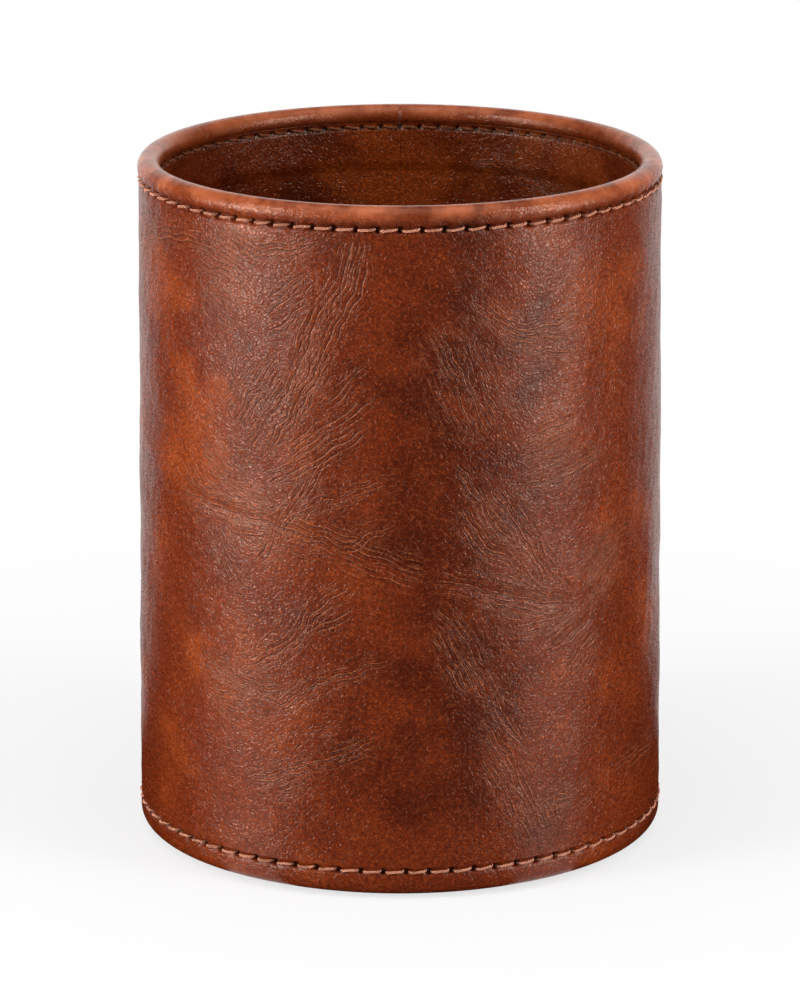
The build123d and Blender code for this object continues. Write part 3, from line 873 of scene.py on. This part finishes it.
def lining_surface(across, along, z):
    """Lift of the lining's inside, in mm, and the values that its points carry. Its places are taken at their
    height, because it runs down from the rim."""
    on_wall = smooth((rim_row - 0.6 - z) / 2) * smooth((z - base_row - 0.6) / 2)
    relief, lines = creased(across, z, lining_creases, on_wall)
    swollen = LINING_SWELL_RISE * LINING_SWELLS(across, z) + LINING_DIMPLE_RISE * LINING_DIMPLES(across, z)
    rise = on_wall * (swollen + relief)
    # painted_hole_shade is painted shade in each needle hole of the lining.
    painted_hole_shade = np.zeros(across.shape)
    for hole, level in hole_places(across, z):
        rise -= LINING_HOLE_DEPTH * np.exp(-((hole / 0.46) ** 4 + (level / 0.36) ** 4))
        painted_hole_shade += np.exp(-((hole / 0.5) ** 4 + (level / 0.4) ** 4))
    rise -= LINING_SEAM_DEPTH * np.exp(-(to_seam(across) / SEAM_WIDTH) ** 2)
    from_seam = to_seam(across) * np.sign(across)
    tone = 0.4 * LINING_MOTTLE(across, z) * off_seam(across) + patched(LINING_PAINTED_LIGHT_AND_SHADE, from_seam, z)
    return rise, {"tone": tone, "hole": np.clip(painted_hole_shade, 0, 1), "crest": np.zeros(across.shape), **lines}


lining_leather = leather("lining_leather", cell=0.6, relief=0.07, ridge_paling=0.4, gloss=0.6)
wrapped("lining_strip", lining_face, lining_back, lining_surface, lining_leather, "lining",
        columns=RIM_STITCHES * 6)


# Floor inside
# A disc of the lining's leather, drawn down over the edge of a card disc and pressed in on top of the foot.

FLOOR_LEATHER = 0.4
FLOOR_EDGE = 0.35
FLOOR_RINGS = 44
FLOOR_COLUMNS = 180
# The rings of a disc begin at this radius, because its middle is a single point.
INNER_RING = 0.4

floor_radius = floor_high[0]
FLOOR_SWELLS = ripples(51, 30, 5.0, 25.0)
FLOOR_MOTTLE = ripples(52, 40, 8.0, 30.0)


def disc(name, outline, lift, extras, material, node, columns=FLOOR_COLUMNS):
    """A disc whose outline runs from the axis, out over its edge and back to the axis underneath. Only the
    points between the first and the last are rings, and those two are single points."""
    angles = np.linspace(0, 2 * math.pi, columns, endpoint=False)
    rings = outline[1:-1]
    x = rings[None, :, 0] * np.cos(angles)[:, None]
    y = rings[None, :, 0] * np.sin(angles)[:, None]
    z = rings[None, :, 1] + lift(x, y, rings[None, :, 1] + x * 0)
    points = np.concatenate([np.stack([x, y, z], -1).reshape(-1, 3),
                             [(0, 0, outline[0][1]), (0, 0, outline[-1][1])]]) * MM
    size = len(rings)
    column, row = np.meshgrid(np.arange(columns), np.arange(size - 1), indexing="ij")
    here, there = column * size + row, (column + 1) % columns * size + row
    quads = np.stack([here, here + 1, there + 1, there], -1)
    first, last = columns * size, columns * size + 1
    fans = []
    for start in range(columns):
        end = (start + 1) % columns
        fans.append([first, start * size, end * size])
        fans.append([last, end * size + size - 1, start * size + size - 1])
    mesh = bpy.data.meshes.new(name)
    mesh.from_pydata(points, [], quads.reshape(-1, 4).tolist() + fans)
    skin = np.concatenate([np.stack([x, y, x * 0], -1).reshape(-1, 3), np.zeros((2, 3))])
    carry(mesh, "skin", skin[:, None, :])
    for title, shown in extras(skin[:, :1], skin[:, 1:2]).items():
        carry(mesh, title, shown)
    piece(name, mesh, material, node)


def floor_lift(x, y, z):
    """The floor's leather lies a little below its edge, and is not quite flat."""
    inner = smooth((floor_radius - 0.5 - np.hypot(x, y)) / 2) * (z > floor_top - 0.1)
    return inner * (0.05 * FLOOR_SWELLS(x, y) - 0.05)


def floor_extras(x, y):
    """Values that the floor's points carry."""
    tone = 0.5 * FLOOR_MOTTLE(x, y)
    return {"tone": tone, "hole": tone * 0, "crest": tone * 0}


inner_radius = floor_radius - FLOOR_LEATHER
leather_underside = floor_top - FLOOR_LEATHER
edge_x, edge_z = floor_radius - FLOOR_EDGE, floor_top - FLOOR_EDGE
floor_outline = np.concatenate([
    [(0, floor_top)],
    spaced([(INNER_RING, floor_top), (edge_x, floor_top)], floor_radius / FLOOR_RINGS)[:-1],
    arc((edge_x, edge_z), FLOOR_EDGE, 90, 0, 15),
    [(floor_radius, floor_low[2]), (inner_radius, floor_low[2]), (inner_radius, leather_underside)],
    [(inner_radius / 2, leather_underside), (INNER_RING, leather_underside), (0, leather_underside)],
])
disc("floor_disc", floor_outline, floor_lift, floor_extras, lining_leather, "floor_leather")


# Base cover
# A disc of pressed felt, glued over the turned-under hem so that the pot stands soft.

FELT = (0.036, 0.02, 0.012)
FELT_FIBRE = (0.11, 0.065, 0.04)
FELT_EDGE = 0.2

soft = {"Roughness": 0.95, "Specular IOR Level": 0.1, "Sheen Weight": 0.3}
felt, tree, shader = finish_of("pressed_felt", soft)
skin = carried(tree, "skin", "Vector")
swirl = noise(tree, skin, scale=0.7, detail=6.0, roughness=0.75, distortion=2.0)
fibres = eased(tree, off_by(tree, swirl, 0.5), 0.0, 0.09, 1.0, 0.0)
feed(tree, shader, {"Base Color": mixed(tree, fibres, FELT, FELT_FIBRE)})
raised(tree, shader, noise(tree, skin, scale=4.0, detail=5.0, roughness=0.8, distortion=1.5), 0.12 * MM)

felt_high = corners_of("base_cover")[1]
felt_radius, felt_top = felt_high[0], felt_high[2]
flat_radius = felt_radius - FELT_EDGE
FELT_LUMPS = ripples(61, 40, 1.5, 9.0)


def felt_lift(x, y, z):
    """The felt's underside is lumpy, and rises from the ring that it stands on."""
    inner = (z < 0.01) * smooth((flat_radius - np.hypot(x, y)) / 1.5)
    return inner * np.clip(0.02 + 0.012 * FELT_LUMPS(x, y), 0, None)


felt_outline = np.concatenate([
    [(0, felt_top), (INNER_RING, felt_top), (felt_radius / 2, felt_top)],
    arc((flat_radius, felt_top - FELT_EDGE), FELT_EDGE, 90, 0, 20),
    arc((flat_radius, FELT_EDGE), FELT_EDGE, 0, -90, 20),
    spaced([(flat_radius - 1, 0), (INNER_RING, 0)], felt_radius / FLOOR_RINGS),
    [(0, 0)],
])
disc("felt_disc", felt_outline, felt_lift, lambda x, y: {}, felt, "base_cover")


# Stitching
# Two rows of lockstitch through cover, core and lining, in waxed twisted thread of three plies. The needle
# thread shows outside and the bobbin thread inside. Each stitch rises to the right, and its ends dip into
# holes.

NEEDLE_THREAD = 0.4
BOBBIN_THREAD = 0.38
CLEARANCE = 0.03
LAY = 1.4
PLIES = 3
PLY_SHARE = 0.45
PLY_CENTRE = 0.57
HOLE_EDGE = 0.4
THREAD_STEPS = 34
PLY_SIDES = 7
# Thread colours, each with the painted shade between its plies. The bobbin thread is the darker.
THREAD_COLOUR = (0.98, 0.43, 0.27)
THREAD_SHADE = (0.17, 0.045, 0.018)
BOBBIN_COLOUR = (0.45, 0.14, 0.05)
BOBBIN_PLY_SHADE = (0.05, 0.012, 0.004)
# How a stitch lies, in mm: it bows out between its holes and dips into them, stands off and lies high or low
# by chance, and waves a little. It is thinner where it dips, and one is thicker than the next.
BOW = 0.05
HOLE_DIP = 0.75
SLACK = 0.012
LEVEL_SCATTER = 0.02
WAVE = 0.04
DIP_THINNING = 0.22
WIDTH_SCATTER = 0.03


def twisted_thread(name, colour, shade):
    """Waxed thread, with painted shade between its plies, and dark in streaks along its fibres."""
    material, tree, shader = finish_of(name, {"Roughness": 0.55, "Specular IOR Level": 0.25})
    streak = noise(tree, carried(tree, "fibre", "Vector"), scale=1.0, detail=3.0, roughness=0.6)
    worn = eased(tree, noise(tree, place_on(tree), scale=600.0, detail=2.0), 0.32, 0.55, 0.5, 1.0)
    # The plies are painted darker where they turn in towards each other: painted shade.
    lit = times(tree, eased(tree, carried(tree, "outer"), 0.55, 0.88), worn)
    lit = times(tree, lit, eased(tree, streak, 0.3, 0.55, 0.7, 1.0))
    feed(tree, shader, {"Base Color": mixed(tree, lit, shade, colour)})
    raised(tree, shader, streak, 0.03 * MM, strength=0.7)
    return material


needle_thread = twisted_thread("needle_thread", THREAD_COLOUR, THREAD_SHADE)
bobbin_thread = twisted_thread("bobbin_thread", BOBBIN_COLOUR, BOBBIN_PLY_SHADE)


def row_of_stitches(name, row, count, turn, seat, diameter, side, seed):
    """One piece with every stitch of a row, at a radius. side is 1 for the outside and -1 for the inside."""
    random = np.random.default_rng(seed)
    twisted = needle_thread if side > 0 else bobbin_thread
    half = math.radians(180 / count)
    aside = (diameter + CLEARANCE) / 2 / math.sqrt(2)
    reach = half - HOLE_EDGE / seat
    share = np.sin(np.linspace(-0.5, 0.5, THREAD_STEPS) * math.pi)
    around = np.linspace(0, 2 * math.pi, PLY_SIDES, endpoint=False)
    points, fibres, outers, quads, start = [], [], [], [], 0
    for stitch in range(count):
        middle = math.radians(turn) + half * (2 * stitch + 1)
        slack, level = random.normal(0, SLACK), random.normal(0, LEVEL_SCATTER)
        phase = random.uniform(0, 2 * math.pi)
        free, dip = 1 - share ** 2, np.abs(share) ** 9
        out = seat + side * (slack * free + BOW * free - HOLE_DIP * dip)
        angle = middle + share * reach
        height = row + level * free + aside * share + WAVE * np.sin(share * 2.4 + phase)
        path = np.stack([out * np.sin(angle), -out * np.cos(angle), height], -1)
        tangent = facing_along(path)
        upward = np.array([0.0, 0.0, 1.0]) - tangent * tangent[:, 2:3]
        upward /= np.linalg.norm(upward, axis=1)[:, None]
        outward = np.cross(tangent, upward)
        run = run_along(path)
        width = diameter / 2 * (1 - DIP_THINNING * dip) * (1 + random.normal(0, WIDTH_SCATTER))
        for ply in range(PLIES):
            twist = 2 * math.pi * (run / LAY + ply / PLIES) + phase
            lean = np.cos(twist)[:, None] * outward + np.sin(twist)[:, None] * upward
            centre = path + lean * (PLY_CENTRE * width)[:, None]
            ring = (np.cos(around)[None, :, None] * outward[:, None, :]
                    + np.sin(around)[None, :, None] * upward[:, None, :])
            points.append(centre[:, None, :] + ring * (PLY_SHARE * width)[:, None, None])
            outers.append(0.5 + 0.5 * (ring * lean[:, None, :]).sum(-1))
            fibres.append(np.stack([np.broadcast_to(run[:, None] * 1.5, (THREAD_STEPS, PLY_SIDES)),
                                    around[None, :] * 2.2 + run[:, None] * 5.0,
                                    np.full((THREAD_STEPS, PLY_SIDES), stitch * 3.7 + ply)], -1))
            step, seam = np.meshgrid(np.arange(THREAD_STEPS - 1), np.arange(PLY_SIDES), indexing="ij")
            after = (seam + 1) % PLY_SIDES
            corners = [step * PLY_SIDES + seam, (step + 1) * PLY_SIDES + seam,
                       (step + 1) * PLY_SIDES + after, step * PLY_SIDES + after]
            quads += (np.stack(corners, -1).reshape(-1, 4) + start).tolist()
            quads.append([start + corner for corner in range(PLY_SIDES)])
            quads.append([start + THREAD_STEPS * PLY_SIDES - 1 - corner for corner in range(PLY_SIDES)])
            start += THREAD_STEPS * PLY_SIDES
    mesh = bpy.data.meshes.new(name + "_row")
    mesh.from_pydata(np.concatenate([ring.reshape(-1, 3) for ring in points]) * MM, [], quads)
    carry(mesh, "fibre", np.concatenate([ring.reshape(-1, 1, 3) for ring in fibres]))
    carry(mesh, "outer", np.concatenate([ring.reshape(-1, 1) for ring in outers]))
    piece(name + "_row", mesh, twisted, name + "_thread")


for place, (row, count, turn) in zip(("rim", "base"), STITCH_ROWS):
    outside = wall(row) - GROOVE_DEPTH + CLEARANCE + NEEDLE_THREAD / 2
    inside = lining_inside(row) + LINING_GROOVE - CLEARANCE - BOBBIN_THREAD / 2
    row_of_stitches(place + "_needle", row, count, turn, outside, NEEDLE_THREAD, side=1, seed=71)
    row_of_stitches(place + "_bobbin", row, count, turn, inside, BOBBIN_THREAD, side=-1, seed=72)


# Studio
# A white floor that keeps the pot's soft shadow, under two low soft boxes and two raised windows at the sides
# and a wide light above. Dark screens, mats and a canopy keep the white room out of the leather's gloss, and
# the screens grow light towards the back. Sizes here are in metres and angles in degrees.

CAMERA_TURN = math.radians(15.48)
CAMERA_DISTANCE = 0.80336
CAMERA_AIM = 0.0511
CAMERA_LENS = 186.48
WHITE = (1, 1, 1, 1)
FLOOR_WHITE = (0.9, 0.9, 0.9, 1)
SCREEN_BLACK = (0.005, 0.005, 0.005, 1)
MATT = {"Roughness": 1.0, "Specular IOR Level": 0.0}
FLOOR_DROP = -0.02 * MM
FLOOR_HALF = 6
SCREEN_DISTANCE = 1.6
SCREEN_MIDDLE = 1.2
SCREEN_HALF_HEIGHT = 1.6
MAT_LEVEL = 0.0005
MAT_REACH = 2
CANOPY_HALF = 2.5
CANOPY_LEVEL = 1.3
LAMP_AIM = 0.04
ROOM_LIGHT = 0.25

camera = placed("camera", bpy.data.cameras.new("camera"))
camera.data.lens = CAMERA_LENS
camera_height = CAMERA_AIM + CAMERA_DISTANCE * math.sin(CAMERA_TURN)
camera.location = (0, -CAMERA_DISTANCE * math.cos(CAMERA_TURN), camera_height)
camera.rotation_euler = (math.pi / 2 - CAMERA_TURN, 0, 0)
bpy.context.scene.camera = camera


def stage_panel(name, corners, material):
    """A flat piece of the studio."""
    mesh = bpy.data.meshes.new(name)
    mesh.from_pydata(corners, [], [(0, 1, 2, 3)])
    mesh.materials.append(material)
    panel = placed(name, mesh)
    return panel


def dark_panel(name, corners):
    """A panel that shows only in gloss."""
    panel = stage_panel(name, corners, screen)
    panel.visible_camera = False
    panel.visible_diffuse = False
    panel.visible_shadow = False
    return panel


def square(half, level):
    """Corners of a level square round the pot."""
    return [(-half, -half, level), (half, -half, level), (half, half, level), (-half, half, level)]


def seen_white(tree):
    """1 for what the camera sees, directly or in gloss or glass, and 0 for light that falls on the pot."""
    path = put(tree, "LightPath").outputs
    reflected = sums(tree, "MAXIMUM", path["Is Glossy Ray"], path["Is Transmission Ray"])
    return sums(tree, "MAXIMUM", path["Is Camera Ray"], reflected)


# The floor is seen white, a little less so near the pot, where its shadow lies.
backdrop, tree, shader = finish_of("studio_floor", {"Base Color": FLOOR_WHITE, **MATT})
apart = put(tree, "VectorMath", {0: place_on(tree)}, operation="LENGTH").outputs["Value"]
white = times(tree, seen_white(tree), eased(tree, apart, 0.04, 0.2, 0.7, 1.0))
glow = put(tree, "Emission", {"Color": WHITE, "Strength": 1.0})
joined = put(tree, "MixShader", {0: white, 1: shader.outputs[0], 2: glow.outputs[0]})
tree.links.new(joined.outputs[0], tree.nodes["Material Output"].inputs[0])
stage_panel("floor", square(FLOOR_HALF, FLOOR_DROP), backdrop)

screen, tree, shader = finish_of("dark_screen", {"Base Color": SCREEN_BLACK, "Emission Color": WHITE, **MATT})
position = put(tree, "NewGeometry").outputs["Position"]
heading = put(tree, "VectorMath", {0: position}, operation="NORMALIZE").outputs[0]
behind = put(tree, "SeparateXYZ", {0: heading}).outputs["Y"]
feed(tree, shader, {"Emission Strength": eased(tree, behind, 0.5, 0.95)})

# Upright screens, each from one angle round the pot to another. 0 is the camera's side, and plus is right.
for name, start, end in (("screen_left", -148, -84), ("screen_front", -52, 52), ("screen_right", 82, 148)):
    half = SCREEN_DISTANCE * math.tan(math.radians(end - start) / 2)
    foot, top = -SCREEN_HALF_HEIGHT, SCREEN_HALF_HEIGHT
    panel = dark_panel(name, [(-half, 0, foot), (half, 0, foot), (half, 0, top), (-half, 0, top)])
    turn = math.radians((start + end) / 2)
    panel.location = (SCREEN_DISTANCE * math.sin(turn), -SCREEN_DISTANCE * math.cos(turn), SCREEN_MIDDLE)
    panel.rotation_euler = (0, 0, turn)

# Mats on the floor. Between them the white floor shows in the gloss, as two upright bands of light on the
# leather. Each side of a mat runs out from a place near the pot at an angle.
for name, (first, first_angle), (last, last_angle) in (
        ("front_mat", ((-0.018, -0.036), -54), ((0.018, -0.036), 53)),
        ("left_mat", ((-0.036, 0.015), -150), ((-0.026, -0.03), -82)),
        ("right_mat", ((0.026, -0.03), 80), ((0.036, 0.015), 150))):
    far = [(x + MAT_REACH * math.sin(math.radians(angle)), y - MAT_REACH * math.cos(math.radians(angle)))
           for (x, y), angle in ((first, first_angle), (last, last_angle))]
    dark_panel(name, [(x, y, MAT_LEVEL) for x, y in (first, far[0], far[1], last)])
dark_panel("dark_canopy", square(CANOPY_HALF, CANOPY_LEVEL))

# Lamps, aimed at the middle of the pot: angle from the camera's side, rise, distance, width, height and watts
for name, angle, elevation, distance, width, height, power in (
        ("left_box", -66, 5.5, 0.5, 0.2, 0.17, 1.6), ("right_box", 66, 5.5, 0.5, 0.2, 0.17, 1.1),
        ("left_window", -60, 33, 0.8, 0.22, 0.22, 2.1), ("right_window", 60, 33, 0.8, 0.22, 0.22, 1.8),
        ("top_box", 0, 80, 1.1, 1.2, 1.2, 5.2)):
    lamp = bpy.data.lights.new(name, "AREA")
    lamp.shape = "RECTANGLE"
    lamp.size, lamp.size_y, lamp.energy = width, height, power
    turn, rise = math.radians(angle), math.radians(elevation)
    away = distance * math.cos(rise)
    light = placed(name, lamp)
    light.location = (away * math.sin(turn), -away * math.cos(turn), LAMP_AIM + distance * math.sin(rise))
    light.rotation_euler = (math.pi / 2 - rise, 0, turn)

world = bpy.data.worlds.new("white_room")
bpy.context.scene.world = world
world.use_nodes = True
tree = world.node_tree
tree.nodes.clear()
ambient = put(tree, "Background", {"Color": WHITE, "Strength": ROOM_LIGHT})
bright = put(tree, "Background", {"Color": WHITE, "Strength": 1.0})
room = put(tree, "MixShader", {0: seen_white(tree), 1: ambient.outputs[0], 2: bright.outputs[0]})
tree.links.new(room.outputs[0], put(tree, "OutputWorld").inputs[0])

bpy.context.scene.view_settings.view_transform = "Standard"
